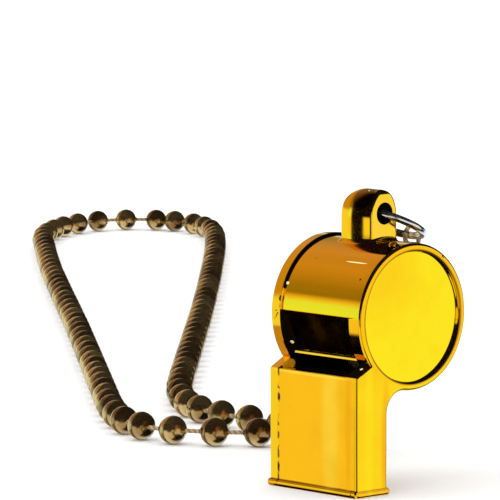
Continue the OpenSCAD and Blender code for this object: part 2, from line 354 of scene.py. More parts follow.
def smooth(obj):
    make_active(obj)
    bpy.ops.object.shade_smooth_by_angle(angle=SMOOTH_ANGLE)
    apply_modifier(obj, "Flat faces stay flat", "WEIGHTED_NORMAL", keep_sharp=True, weight=80)


def arc(centre, radius, start, end, steps):
    """Points of an arc in (back, up), from one angle to another, in radians."""
    angles = [start + (end - start) * i / steps for i in range(steps + 1)]
    return [(centre[0] + radius * math.cos(a), centre[1] + radius * math.sin(a)) for a in angles]


# From here on s is the whistle's sizes, n the necklace's, f the finishes and p the whistle's plan
def whistle_plan(s):
    """Places that follow from the whistle's sizes."""
    p = SimpleNamespace()
    p.chamber_r = s.chamber_d / 2
    p.bore_r = p.chamber_r - s.chamber_wall
    p.cover_r = p.chamber_r + s.cover_step
    p.axis = ((s.mouth_front + s.ridge_out - p.cover_r) / 2, s.total_h - s.lug_h - p.chamber_r)
    p.front = p.axis[0] - s.mouth_front
    p.inner = p.front + s.front_wall
    p.back = p.front + s.mouth_t
    p.mouth_h = p.axis[1] - s.mouth_drop
    p.right = s.body_w / 2
    p.left = -p.right
    p.right_in = p.right - s.right_t
    p.cover_in = p.left + s.cover_t
    p.lip_z = p.mouth_h + s.window_h
    p.lip_top = p.lip_z + s.lip_h
    p.lip_y = front_of(p, p.chamber_r, p.lip_top) + s.lip_in
    p.ramp_z = p.axis[1] + s.ramp_rise
    p.hole = (p.axis[0], s.total_h - s.hole_drop)
    return p


def front_of(p, radius, z):
    """Where a circle round the chamber's axis has its front at a height."""
    return p.axis[0] - math.sqrt(radius ** 2 - (p.axis[1] - z) ** 2)


def back_corner(s, p, radius, inset=0.0):
    """From the round part down the hollow corner to the foot of the mouthpiece's back."""
    y = p.back + s.back_fillet
    reach = radius + s.back_fillet
    z = p.axis[1] - math.sqrt(reach ** 2 - (y - p.axis[0]) ** 2)
    meet = math.atan2(z - p.axis[1], y - p.axis[0])
    hollow = arc((y, z), s.back_fillet + inset, meet + math.pi, math.pi, HOLLOW_STEPS)
    return meet, hollow + [(p.back - inset, 0.0)]


def side_outline(s, p, radius, inset=0.0):
    """Front foot, shoulder, round part, hollow corner and back foot, drawn in by an inset."""
    slope = (math.cos(s.notch_angle), math.sin(s.notch_angle))
    drop = s.mouth_drop + inset * (1 - slope[1]) / slope[0]
    start = (inset - s.mouth_front, -drop)
    along = start[0] * slope[0] + start[1] * slope[1]
    run = -along - math.sqrt(along ** 2 - (start[0] ** 2 + start[1] ** 2 - (radius - inset) ** 2))
    meet = math.atan2(start[1] + run * slope[1], start[0] + run * slope[0]) + 2 * math.pi
    end, corner = back_corner(s, p, radius, inset)
    front = [(p.front + inset, 0.0), (p.front + inset, p.axis[1] - drop)]
    return front + arc(p.axis, radius - inset, meet, end, ROUND_STEPS) + corner[1:]


def core_outline(s, p):
    """Lip, ramp, chamber wall, block and bore in one C-shaped outline."""
    rim = side_outline(s, p, p.chamber_r)[2:]
    first = next(i for i, (y, z) in enumerate(rim) if z > p.ramp_z)
    ramp = [(p.lip_y, p.lip_z), (p.lip_y, p.lip_top), (front_of(p, p.chamber_r, p.ramp_z), p.ramp_z)]
    bore_start = math.atan2(-s.mouth_drop, front_of(p, p.bore_r, p.mouth_h) - p.axis[0])
    bore_end = math.atan2(p.lip_z - p.axis[1], front_of(p, p.bore_r, p.lip_z) - p.axis[0]) + 2 * math.pi
    block = p.inner + s.windway
    bore = arc(p.axis, p.bore_r, bore_start, bore_end, BORE_STEPS)
    return ramp + rim[first:] + [(block, 0.0), (block, p.mouth_h)] + bore


def round_cutter(centre, radius, from_x, to_x):
    """A cylinder along X."""
    deselect()
    middle = ((from_x + to_x) / 2, centre[0], centre[1])
    bpy.ops.mesh.primitive_cylinder_add(vertices=HOLE_STEPS, radius=radius, depth=abs(to_x - from_x),
                                        location=middle, rotation=(0, math.pi / 2, 0))
    return place_applied()


def box(low, high):
    """A box between two corners."""
    deselect()
    size = [b - a for a, b in zip(low, high)]
    middle = [(a + b) / 2 for a, b in zip(low, high)]
    bpy.ops.mesh.primitive_cube_add(size=1.0, location=middle, scale=size)
    return place_applied()


def stacked(name, rows):
    """A closed solid through rows of points, each row a closed ring of as many points."""
    deselect()
    around = len(rows[0])
    bpy.ops.mesh.primitive_grid_add(x_subdivisions=around, y_subdivisions=len(rows) - 1, size=START_SIZE)
    obj = named(bpy.context.object, name)
    for index, vertex in enumerate(obj.data.vertices):
        vertex.co = rows[index // (around + 1)][index % (around + 1) % around]
    bpy.ops.object.mode_set(mode="EDIT")
    bpy.ops.mesh.select_all(action="SELECT")
    bpy.ops.mesh.remove_doubles(threshold=MERGE)
    bpy.ops.mesh.select_all(action="DESELECT")
    bpy.ops.mesh.select_non_manifold()
    bpy.ops.mesh.fill_holes(sides=0)
    bpy.ops.object.mode_set(mode="OBJECT")
    return outward(obj)


def panel_cutter(s, p, outer, away):
    """A round plug with a flared mouth, which leaves a rounded edge round the sunk panel."""
    edge, radius = s.panel_edge, s.panel_d / 2
    profile = [(-PAST, radius + edge)]
    for angle in range(0, 91, 15):
        turn = math.radians(angle)
        profile.append((edge * (1 - math.cos(turn)), radius + edge * (1 - math.sin(turn))))
    profile += [(s.panel_depth - PANEL_FOOT, radius), (s.panel_depth, radius - PANEL_FOOT)]
    rows = []
    for depth, reach in profile:
        ring = arc(p.axis, reach, 0, 2 * math.pi, PANEL_STEPS)[:-1]
        rows.append([(outer - away * depth, y, z) for y, z in ring])
    return stacked("panel", rows)


def side_plate(name, s, p, radius, round_rim, outer, inner, draft=0.0):
    """A whole side, from its inner face to its rounded outer rim, with the sunk panel."""
    away = math.copysign(1.0, outer)
    # A small inset shows which way each point of the edge moves
    trial = 0.0001
    edge = side_outline(s, p, radius)
    drawn = side_outline(s, p, radius, trial)
    inward = [((b[0] - a[0]) / trial, (b[1] - a[1]) / trial) for a, b in zip(edge, drawn)]
    shares = [max(0.0, min(1.0, (z - RIM_FROM) / RIM_OVER)) for y, z in edge]
    rows = [[(inner, y, z) for y, z in edge]]
    for angle in range(0, 91, 10):
        up, out = math.sin(math.radians(angle)), 1 - math.cos(math.radians(angle))
        row = []
        for (y, z), (to_y, to_z), share in zip(edge, inward, shares):
            rim = s.mouth_edge + (round_rim - s.mouth_edge) * share
            inset = rim * out + draft * share
            row.append((outer - away * rim * (1 - up), y + to_y * inset, z + to_z * inset))
        rows.append(row)
    plate = stacked(name, rows)
    combine(plate, panel_cutter(s, p, outer, away), "DIFFERENCE")
    return plate


def tooth_ridge(name, s, p, outer):
    """The half-round ridge round the mouth end, from the seam to one side, with the windway cut through."""
    away = math.copysign(1.0, outer)
    corner = s.mouth_edge
    rows = []
    for angle in range(0, 181, 15):
        inset = s.ridge_out * (1 - math.sin(math.radians(angle)))
        z = s.ridge_h / 2 * (1 - math.cos(math.radians(angle)))
        front = p.front - s.ridge_out + inset
        back = p.back + s.ridge_out - inset
        end = abs(outer) - inset - corner
        row = [(p.cover_in, front, z)]
        for middle, start in ((front + corner, -90), (back - corner, 0)):
            for step in range(0, 91, 15):
                turn = math.radians(start + step)
                x = away * (end + corner * math.cos(turn))
                row.append((x, middle + corner * math.sin(turn), z))
        rows.append(row + [(p.cover_in, back, z)])
    obj = stacked(name, rows)
    slot = box((p.cover_in, p.inner, -PAST), (p.right_in, p.inner + s.windway, 2 * PAST))
    combine(obj, slot, "DIFFERENCE")
    return obj


def rounded_box(half_x, half_y, corner, turn):
    """Point of a box outline with rounded corners, spaced by length from the middle of its right side."""
    flat_x, flat_y = half_x - corner, half_y - corner
    quarter = math.pi / 2 * corner
    stops = [flat_y, quarter, 2 * flat_x, quarter, 2 * flat_y, quarter, 2 * flat_x, quarter, flat_y]
    left = turn / (2 * math.pi) * sum(stops) % sum(stops)
    for side, stop in enumerate(stops):
        if left <= stop or side == len(stops) - 1:
            break
        left -= stop
    bend = left / corner
    c, d = corner * math.cos(bend), corner * math.sin(bend)
    return [
        (half_x, left), (flat_x + c, flat_y + d), (flat_x - left, half_y), (-flat_x - d, flat_y + c),
        (-half_x, flat_y - left), (-flat_x - c, -flat_y - d), (-flat_x + left, -half_y),
        (flat_x + d, -flat_y - c), (half_x, left - flat_y)][side]


def lug(s, p):
    """The lug: rounded sections stacked from a flared foot up to an arch, then bored through."""
    half, top = s.lug_t / 2, s.total_h
    shoulder = top - s.lug_crown
    # How far out the foot follows the wall, and how much its sunk end flares
    wall_reach, sunk_flare = 0.006, 1.3
    # The most of a half width that a corner takes up, how fast the left end's turn fades, and the peak's gap
    corner_share, turn_fade, peak_gap = 0.98, 2.5, 1e-7

    def wall_z(y):
        return p.axis[1] + math.sqrt(p.chamber_r ** 2 - min(abs(y - p.axis[0]), wall_reach) ** 2)

    def drawn_in(z, radius):
        return radius - math.sqrt(radius ** 2 - max(0.0, z - (top - radius)) ** 2)

    foot = [(s.lug_foot * i / 6, 1 - math.sqrt(1 - (1 - i / 6) ** 2)) for i in range(7)]
    low = wall_z(p.axis[0]) + s.lug_foot
    rise = [(low + (shoulder - low) * i / 4, None) for i in range(1, 5)]
    arch = [(shoulder + s.lug_crown * math.sin(math.radians(a)), None) for a in range(3, 88, 3)]
    rows = []
    for level, flare in [(-PAST, sunk_flare)] + foot + rise + arch + [(top - peak_gap, None)]:
        z = low if flare is not None else level
        spread = s.lug_foot * (flare or 0.0)
        half_y = half * math.sqrt(1 - max(0.0, (z - shoulder) / s.lug_crown) ** 2)
        left = -s.lug_w / 2 + drawn_in(z, s.lug_left)
        right = s.lug_w / 2 - drawn_in(z, s.lug_round)
        half_x = (right - left) / 2
        corner = min(s.lug_edge, half_x * corner_share, half_y * corner_share)
        row = []
        for column in range(LUG_STEPS):
            turn = 2 * math.pi * column / LUG_STEPS
            x, y = rounded_box(half_x + spread, half_y + spread, corner + spread, turn)
            x += (left + right) / 2
            run = max(0.0, (x + s.lug_w / 2) / s.lug_w)
            y *= 1 - (s.lug_bow * run ** 3 + s.lug_turn * max(0.0, 1 - turn_fade * run) ** 2) / half
            y += p.axis[0]
            row.append((x, y, z if flare is None else wall_z(y) + level))
        rows.append(row)
    obj = stacked("lug", rows)
    combine(obj, round_cutter(p.hole, s.hole_d / 2, -s.lug_w, s.lug_w), "DIFFERENCE")
    return obj


def bare_and_shaded_faces(obj, s, p):
    """Gives the near-black second material to what the lacquer doesn't reach, bore, windway and holes, as
    painted shade to the cover's step face along the seam, and as a painted dark reflection to the slopes of
    the right shoulders.
    """
    # The bore's and the hole's facets, with a little room, and how steep a shoulder may be
    bore_r, hole_r, sloping = p.bore_r + 0.0001, s.hole_d / 2 + 0.00002, 0.6
    for face in obj.data.polygons:
        x, y, z = face.center
        normal = face.normal
        around = abs(normal.x) < ACROSS
        in_bore = math.hypot(y - p.axis[0], z - p.axis[1]) < bore_r and around
        on_block = abs(z - p.mouth_h) < FLUSH and y > p.inner and normal.z > FACING
        behind_wall = p.inner - FLUSH < y < p.inner + s.windway + FLUSH
        in_windway = behind_wall and z < p.mouth_h and abs(normal.y) > FACING
        under_lip = abs(z - p.lip_z) < FLUSH and normal.z < -FACING
        in_hole = math.hypot(y - p.hole[0], z - p.hole[1]) < hole_r and around
        # Painted shade and dark reflection: the cover's step face at the seam and the right shoulders'
        # slopes are outer faces that take the near-black material
        at_seam = abs(x - p.cover_in) < FLUSH and normal.x > FACING and z > s.ridge_h
        shoulder = x > p.right_in and p.mouth_h < z < p.lip_z and normal.z > sloping and around
        hidden = in_bore or on_block or in_windway or under_lip or in_hole
        if at_seam or shoulder or hidden and p.cover_in < x < p.right_in:
            face.material_index = 1


def string_route(n, s, p):
    """Points of the string from the ring's wire round the loop and back, as in the part's source."""
    ring_r = n.ring_d / 2
    sag = ring_r - math.sqrt(ring_r ** 2 - s.lug_w ** 2 / 4)
    out = Vector((0, math.sin(n.ring_lean), math.cos(n.ring_lean)))
    up = Vector((0, -math.cos(n.ring_lean), math.sin(n.ring_lean)))
    end = Vector((0, p.hole[0], p.hole[1])) + out * (2 * ring_r - sag / 2)
    along, across = math.cos(LOOP_TURN), math.sin(LOOP_TURN)

    def wrap(turn, side):
        turn = math.radians(turn)
        return end + n.wrap_r * (side * math.sin(turn) * up - math.cos(turn) * out)

    def on_floor(right, away):
        rise = n.bead_d / 2 * MM_PER_M
        return Vector((right * along - away * across, right * across + away * along, rise)) / MM_PER_M

    # In millimetres: right, back and up for the drops, right and away for the loop on the floor
    left_drop = [(-4, 15.5, 38.5), (-13, 18.5, 32), (-22, 19, 22), (-30, 18.5, 11)]
    floor = [
        (-13, 42), (-24, 43), (-34, 46), (-41, 53), (-45, 68), (-48, 100), (-56, 195), (-65, 295),
        (-69, 352), (-70, 376), (-66, 396), (-58, 409), (-47, 413), (-36, 407), (-30, 393), (-28, 372),
        (-28, 320), (-30, 220), (-33, 120), (-33, 90), (-29, 72), (-20, 60), (-10, 50), (-6, 41)]
    right_drop = [(-30, 26, 7), (-21, 24, 15), (-10, 20, 24.5), (-1, 16.5, 33.5)]
    # The string's half turn round the wire, in degrees, and its straight lead away from it
    turns = [4, 45, 90]
    lead = out * 0.001
    return ([wrap(t, 1) for t in turns] + [wrap(90, 1) + lead]
            + [Vector(q) / MM_PER_M for q in left_drop] + [on_floor(*q) for q in floor]
            + [Vector(q) / MM_PER_M for q in right_drop]
            + [wrap(90, -1) + lead] + [wrap(t, -1) for t in reversed(turns)])


def smooth_path(route, steps, lowest):
    """Smooth curve through the route's points that stays clear of the floor."""
    ends = [2 * route[0] - route[1]] + route + [2 * route[-1] - route[-2]]
    path = []
    for i in range(len(route) - 1):
        a, b, c, d = ends[i:i + 4]
        for k in range(steps):
            t = k / steps
            q = b + (t / 2) * (c - a + t * (2 * a - 5 * b + 4 * c - d + t * (3 * b - a - 3 * c + d)))
            path.append(Vector((q.x, q.y, max(q.z, lowest))))
    return path + [route[-1]]


def bead_places(n, s, p):
    """Centre and heading of each bead, by node, spaced along the string as in the part's source."""
    path = smooth_path(string_route(n, s, p), SPACING_STEPS, n.bead_d / 2)
    reach = [0.0]
    for a, b in zip(path, path[1:]):
        reach.append(reach[-1] + (b - a).length)
    total = reach[-1]
    pitch = (total - 2 * n.end_run - n.join_gap) / (LEFT_BEADS + RIGHT_BEADS - 2)

    def at(run):
        i = max(k for k in range(len(path) - 1) if k == 0 or reach[k] < run)
        step = path[i + 1] - path[i]
        return path[i] + step * ((run - reach[i]) / step.length), step.normalized()

    left = [at(n.end_run + i * pitch) for i in range(LEFT_BEADS)]
    right = [at(total - n.end_run - i * pitch) for i in range(RIGHT_BEADS)]
    bend = BEND_BEADS + 1
    groups = (left[:DROP_BEADS], left[DROP_BEADS:-bend], left[-bend:-1] + right[-bend:-1],
              left[-1:] + right[-1:], right[DROP_BEADS:-bend], right[:DROP_BEADS])
    return dict(zip(BEAD_NODES, groups))


def bead_pattern(n):
    """One bead with its hole along Z: a ball with a parting line and a short neck at each end."""
    deselect()
    parting = 1.006
    reach = n.bead_d / 2 / parting
    bpy.ops.mesh.primitive_uv_sphere_add(segments=24, ring_count=18, radius=reach)
    obj = bpy.context.object
    for vertex in obj.data.vertices:
        out = math.hypot(vertex.co.x, vertex.co.y) / reach
        spread, end = 1.0, None
        # The string's end of the neck, the neck's rim, the neck's foot and the parting line
        if out < 0.02:
            end = 0.985
        elif out < 0.2:
            spread, end = 1.15, 1.03
        elif out < 0.4:
            spread = 0.78
        elif abs(vertex.co.z) < reach * 0.05:
            spread = parting
        vertex.co.x *= spread
        vertex.co.y *= spread
        if end:
            vertex.co.z = math.copysign(reach * end, vertex.co.z)
    return obj


class Paint:
    """The nodes of one finish or of the room, wired up from sockets and plain values."""

    def __init__(self, tree):
        self.nodes, self.links = tree.nodes, tree.links

    def feed(self, socket, value):
        """Links a socket, or sets it to a plain value or colour."""
        if isinstance(value, bpy.types.NodeSocket):
            self.links.new(value, socket)
        else:
            socket.default_value = (*value, 1) if socket.type == "RGBA" else value

    def add(self, kind, values=(), **settings):
        """A new node with its settings and with its inputs fed, by name or number."""
        node = self.nodes.new("ShaderNode" + kind)
        for key, value in settings.items():
            setattr(node, key, value)
        for name, value in dict(values).items():
            self.feed(node.inputs[name], value)
        return node

    def coat(self, values):
        """Feeds the finish's own shader."""
        for name, value in values.items():
            self.feed(self.nodes["Principled BSDF"].inputs[name], value)

    def place(self):
        return self.add("TexCoord").outputs["Object"]

    def number(self, operation, *values):
        return self.add("Math", enumerate(values), operation=operation).outputs["Value"]

    def vector(self, operation, *values):
        outputs = self.add("VectorMath", enumerate(values), operation=operation).outputs
        return outputs["Value" if operation in ("LENGTH", "DOT_PRODUCT") else "Vector"]

    def both(self, first, *others):
        """Where all of some masks are."""
        for mask in others:
            first = self.number("MULTIPLY", first, mask)
        return first

    def most(self, first, *others):
        """Where any of some masks is."""
        for mask in others:
            first = self.number("MAXIMUM", first, mask)
        return first

    def ramp(self, value, low, high, to_low=0.0, to_high=1.0):
        """A smooth step as a value goes from low to high."""
        values = {"Value": value, "From Min": low, "From Max": high, "To Min": to_low, "To Max": to_high}
        return self.add("MapRange", values, interpolation_type="SMOOTHSTEP").outputs["Result"]

    def fall(self, value, low, high):
        """A smooth step down to nothing."""
        return self.ramp(value, low, high, 1.0, 0.0)

    def step(self, value, at, low, high, to_low=0.0, to_high=1.0):
        """A smooth step near a place, between limits in millimetres from it."""
        return self.ramp(value, at + low / MM_PER_M, at + high / MM_PER_M, to_low, to_high)

    def mark(self, place, centre, radii, edge=0.35):
        """Mask of an ellipsoid spot round a point, in millimetres, fading over a share of its size."""
        offset = self.vector("SUBTRACT", place, [c / MM_PER_M for c in centre])
        scaled = self.vector("MULTIPLY", offset, [MM_PER_M / r for r in radii])
        return self.fall(self.vector("LENGTH", scaled), 1.0 - edge, 1.0)

    def blend(self, factor, first, second):
        """From one colour to another by a mask."""
        return self.add("Mix", {"Factor": factor, 6: first, 7: second}, data_type="RGBA").outputs[2]

    def noise(self, place, scale, detail):
        return self.add("TexNoise", {"Vector": place, "Scale": scale, "Detail": detail}).outputs["Fac"]

    def bump(self, height, strength, depth):
        values = {"Strength": strength, "Distance": depth, "Height": height}
        return self.add("Bump", values).outputs["Normal"]

    def wear(self, wave, speck, amount):
        """The wear that the metallised finishes share, at this finish's own scales."""
        tree = bpy.data.node_groups.get("Metallised wear") or wear_group()
        values = {"Wave scale": wave, "Speck scale": speck, "Speck amount": amount}
        return self.add("Group", values, node_tree=tree).outputs


def wear_group():
    """Fine moulding waves, dust specks and clouds, for any metallised piece."""
    tree = bpy.data.node_groups.new("Metallised wear", "ShaderNodeTree")
    sock = tree.interface.new_socket
    for name, value in (("Wave scale", 60.0), ("Speck scale", 700.0), ("Speck amount", 0.3)):
        sock(name, in_out="INPUT", socket_type="NodeSocketFloat").default_value = value
    for name in ("Height", "Specks", "Cloud"):
        sock(name, in_out="OUTPUT", socket_type="NodeSocketFloat")
    paint = Paint(tree)
    given = tree.nodes.new("NodeGroupInput").outputs
    result = tree.nodes.new("NodeGroupOutput").inputs
    place = paint.place()
    fine = paint.noise(place, given["Speck scale"], 4.0)
    speck = paint.add("MapRange", {"Value": fine, "From Min": 0.66, "From Max": 0.72}).outputs["Result"]
    paint.feed(result["Height"], paint.noise(place, given["Wave scale"], 1.0))
    paint.feed(result["Specks"], paint.both(speck, given["Speck amount"]))
    paint.feed(result["Cloud"], paint.noise(place, 160.0, 5.0))
    return tree


def new_material(name):
    mat = bpy.data.materials.new(name)
    mat.use_nodes = True
    return mat, Paint(mat.node_tree)


def gold_material(f, s, p):
    """Metallised gold lacquer: orange, with a painted yellow reflection on the right side, painted
    highlights, reflections and shade, and its flaws.
    """
    mat, paint = new_material("metallised_gold")
    step, ramp, both, blend = paint.step, paint.ramp, paint.both, paint.blend
    # Tones of the painted reflections and highlights; the dark one paints the lug's dark top
    tones = {"pale": f.pale_gold, "amber": f.amber, "yellow": f.yellow_gold, "orange": f.orange_gold,
             "dark": f.glue}
    place = paint.place()
    x, _, z = paint.add("SeparateXYZ", {"Vector": place}).outputs
    wear = paint.wear(55.0, 1400.0, 0.1)

    # Painted reflection: yellow on the right panel and, less, on the face round it, for the yellower light
    # that faces turned right reflect, with a painted shade line at the rim
    from_axis = paint.vector("MULTIPLY", paint.vector("SUBTRACT", place, (0, *p.axis)), (0, 1, 1))
    far = paint.vector("LENGTH", from_axis)
    panel = p.right - s.panel_depth
    rim_r = s.panel_d / 2
    disc = both(step(far, rim_r, -0.3, 0.2, 1.0, 0.0), step(x, panel, -0.7, -0.3))
    face = both(step(x, p.right, -0.3, -0.05), step(z, p.mouth_h, -3, 3, 0.6, 0.1))
    colour = blend(paint.most(disc, face), f.orange_gold, f.yellow_gold)
    # Painted shade along the rim's inner edge round the sunk panel
    rim = both(step(far, rim_r, -0.1, 0.1), step(far, rim_r, 0.3, 0.5, 0.75, 0.0),
               step(x, p.right, -0.6, -0.4))
    colour = blend(rim, colour, f.rim_shade)

    # Amber on the tooth ridge, with a painted shade line in the crease above it on the front
    colour = blend(step(z, s.ridge_h, 0, 0.1, 0.7, 0.0), colour, f.amber)
    dirt = both(step(z, s.ridge_h, -0.2, 0), step(z, s.ridge_h, 0.05, 0.25, 0.85, 0.0),
                step(x, p.right, -0.8, 0, 1.0, 0.0))
    colour = blend(dirt, colour, f.glue)

    # Painted reflections and highlights, lighter and darker, from the table of spots
    for centre, radii, edge, share, tone in SHADES:
        colour = blend(both(paint.mark(place, centre, radii, edge), share), colour, tones[tone])
    colour = blend(ramp(wear["Cloud"], 0.35, 0.75, 0.0, 0.3), colour, f.orange_gold)
    colour = blend(wear["Specks"], colour, f.gold_speck)

    # The seam is broken up low down and whole at the top
    ragged = paint.noise(place, 900.0, 3.0)
    at_seam = paint.number("COMPARE", x, p.cover_in, SEAM_HALF)
    seam = both(at_seam, paint.most(ramp(ragged, 0.48, 0.6, 0.0, 0.8), step(z, p.axis[1], 4, 5)))
    crumbs = ramp(ragged, 0.42, 0.5)
    # Glue and nicks, with the painted shade in the tooth ridge's gap
    glue = paint.most(seam, *(both(paint.mark(place, *spot), crumbs) for spot in GLUE_AND_SHADE_MARKS))
    colour = blend(glue, colour, f.glue)
    # Pale cream spots, not metallic
    dust = paint.most(*(paint.mark(place, *spot) for spot in CREAM_SPOTS))
    colour = blend(dust, colour, f.dust)

    # The ridge's right side is worn to a dull shine
    worn = both(step(x, p.right, 0, 0.1), step(z, 0, 0.4, 0.8))
    sheen = ramp(wear["Cloud"], 0.3, 0.8, 0.05, 0.11)
    paint.coat({
        "Base Color": colour,
        "Metallic": both(paint.fall(dust, 0.0, 1.0), ramp(worn, 0.0, 1.0, 1.0, 0.3)),
        "Roughness": paint.number("ADD", sheen, both(glue, 0.35)),
        "Normal": paint.bump(wear["Height"], 0.1, 0.0003),
    })
    return mat


def bare_and_shade_material(f):
    """Plastic inside the whistle, made near-black as painted shade, with lacquer on part of the seam and a
    painted reflection where the window opens.
    """
    mat, paint = new_material("bare_plastic_and_shade")
    place = paint.place()
    wear = paint.wear(90.0, 1100.0, 0.3)
    colour = paint.blend(wear["Cloud"], f.bare, darker(f.bare, 0.5))
    # A painted reflection at the window's left end, then lacquer on the seam and a fleck
    for spot, tone in ((WINDOW_REFLECTION, f.amber), (RUN_OUT, f.orange_gold), (FLECK, f.dust)):
        colour = paint.blend(paint.mark(place, *spot), colour, tone)
    paint.coat({"Base Color": colour, "Roughness": 0.6, "Specular IOR Level": 0.05})
    return mat


def bead_material(f):
    """Metallised bead lacquer that varies from bead to bead between tan and brown."""
    mat, paint = new_material("bead_lacquer")
    wear = paint.wear(130.0, 900.0, 0.5)
    colour = paint.blend(paint.ramp(wear["Height"], 0.35, 0.65), f.bead_brown, f.bead_gold)
    colour = paint.blend(wear["Specks"], colour, f.bead_speck)
    rough = paint.ramp(wear["Cloud"], 0.3, 0.8, 0.16, 0.32)
    paint.coat({"Base Color": colour, "Roughness": rough, "Metallic": 0.97})
    return mat


def wire_material(f):
    """Bright nickel wire with light drawing marks."""
    mat, paint = new_material("bright_wire")
    wear = paint.wear(300.0, 2500.0, 0.35)
    colour = paint.blend(wear["Specks"], f.wire, f.wire_speck)
    rough = paint.ramp(wear["Cloud"], 0.3, 0.8, 0.14, 0.3)
    paint.coat({"Base Color": colour, "Roughness": rough, "Metallic": 1.0})
    return mat


def thread_material(f):
    """Twisted thread: slanted strands of two tones."""
    mat, paint = new_material("twisted_thread")
    values = {"Vector": paint.place(), "Scale": 420.0, "Distortion": 1.5, "Detail": 2.0}
    strands = paint.add("TexWave", values, wave_type="BANDS", bands_direction="DIAGONAL").outputs["Fac"]
    colour = paint.blend(strands, darker(f.thread, 0.45), f.thread)
    paint.coat({"Base Color": colour, "Roughness": 0.85, "Normal": paint.bump(strands, 0.6, 0.0001)})
    return mat


def shaded_cork_material(f):
    """Pressed cork, darkened below its own tan as painted shade inside the whistle: lighter grain with dark
    crumbs.
    """
    mat, paint = new_material("shaded_pressed_cork")
    grain = paint.add("TexVoronoi", {"Vector": paint.place(), "Scale": 900.0}).outputs["Distance"]
    paint.coat({"Base Color": paint.blend(grain, darker(f.cork, 0.35), f.cork), "Roughness": 0.9})
    return mat


def darker(colour, share):
    return tuple(share * c for c in colour)


def dress(obj, *mats):
    obj.data.materials.clear()
    for mat in mats:
        obj.data.materials.append(mat)


class NECKLACE_OT_studio(bpy.types.Operator):
    """Camera, floor and soft light"""
    bl_idname = "necklace.studio"
    bl_label = "Studio"

    def execute(self, context):
        scene = context.scene
        deselect()
        bpy.ops.object.camera_add(location=CAMERA_AT, rotation=CAMERA_TURN)
        camera = context.object
        camera.name = "studio_camera"
        camera.data.sensor_width = CAMERA_SENSOR
        camera.data.lens = CAMERA_LENS
        camera.data.clip_start = CAMERA_NEAR
        camera.data.clip_end = CAMERA_FAR
        scene.camera = camera
        scene.view_settings.view_transform = "Standard"

        deselect()
        bpy.ops.mesh.primitive_plane_add(size=FLOOR_SIZE)
        floor = context.object
        floor.name = "studio_floor"
        mat, paint = new_material("studio_floor")
        paint.coat({"Base Color": scene.necklace_finishes.floor, "Roughness": 0.9})
        dress(floor, mat)
        floor.visible_glossy = False

        deselect()
        bpy.ops.object.light_add(type="AREA", location=KEY_AT)
        key = context.object
        key.name = "soft_key"
        key.data.shape = "DISK"
        key.data.size = KEY_SIZE
        key.data.energy = KEY_POWER
        key.rotation_euler = (KEY_AIM - key.location).to_track_quat("-Z", "Y").to_euler()
        key.visible_glossy = False
        self.surroundings(scene)
        return {"FINISHED"}

    def surroundings(self, scene):
        """Even white light, and for reflections a room with soft boxes, warm walls and dark gaps."""
        scene.world = bpy.data.worlds.new("studio_room")
        scene.world.use_nodes = True
        paint = Paint(scene.world.node_tree)
        ramp, fall, both, blend = paint.ramp, paint.fall, paint.both, paint.blend
        even = paint.nodes["Background"]
        paint.feed(even.inputs["Color"], (1, 1, 1))
        paint.feed(even.inputs["Strength"], EVEN_LIGHT)

        # The limits below are parts of a direction's unit vector: X to the right, Y back and Z up
        toward = paint.add("TexCoord").outputs["Generated"]
        x, y, z = paint.add("SeparateXYZ", {"Vector": toward}).outputs
        height = paint.add("MapRange", {"Value": z, "From Min": -1.0, "From Max": 1.0}).outputs["Result"]
        wall = paint.add("ValToRGB", {"Fac": height})
        tones = wall.color_ramp.elements
        while len(tones) < len(WALL_TONES):
            tones.new(0.5)
        for tone, (up, colour) in zip(tones, WALL_TONES):
            tone.position = (up + 1) / 2
            tone.color = (*colour, 1)

        behind = both(ramp(y, 0.1, 0.3), fall(z, 0.14, 0.24))
        left_wall = blend(behind, wall.outputs["Color"], (0.3, 0.24, 0.16))
        colour = blend(fall(x, -0.7, -0.675), (0.006, 0.0045, 0.003), left_wall)
        far_left = fall(x, -0.755, -0.735)
        corner = both(fall(x, -0.85, -0.81), ramp(z, 0.36, 0.5))
        side_wall = blend(ramp(z, 0.1, 0.25), (0.95, 1.15, 1.1), (0.6, 0.42, 0.22))
        side_wall = blend(corner, side_wall, (0.05, 0.03, 0.012))
        gap = both(ramp(x, 0.64, 0.68), fall(x, 0.77, 0.81))
        to_window = paint.vector("DOT_PRODUCT", toward, (0.94, 0.342, -0.1))
        to_front = paint.vector("DOT_PRODUCT", toward, (0.72, -0.69, -0.03))
        lamp = both(ramp(x, -0.59, -0.565), fall(x, 0.0, 0.08), fall(z, -0.1, 0.0))
        ahead = both(fall(y, -0.35, -0.25), fall(z, -0.24, -0.16), fall(gap, 0.0, 1.0), ramp(x, -0.1, 0.0))
        window = both(ramp(to_window, 0.66, 0.74), fall(z, 0.14, 0.24), ramp(z, -0.5, -0.42))
        for mask, tone in (
            (both(far_left, fall(z, -0.36, -0.3)), (0.55, 0.4, 0.2)),
            (both(far_left, ramp(z, -0.36, -0.3)), side_wall),
            (lamp, (1.0, 1.15, 1.3)),
            (ahead, (0.95, 0.9, 0.8)),
            (window, (1, 1, 1)),
            (ramp(to_front, 0.978, 0.988), (0.9, 0.8, 0.6)),
        ):
            colour = blend(mask, colour, tone)

        room = paint.add("Background", {"Color": colour})
        glossy = paint.add("LightPath").outputs["Is Glossy Ray"]
        either = paint.add("MixShader", {"Fac": glossy, 1: even.outputs[0], 2: room.outputs[0]})
        paint.feed(paint.nodes["World Output"].inputs["Surface"], either.outputs[0])


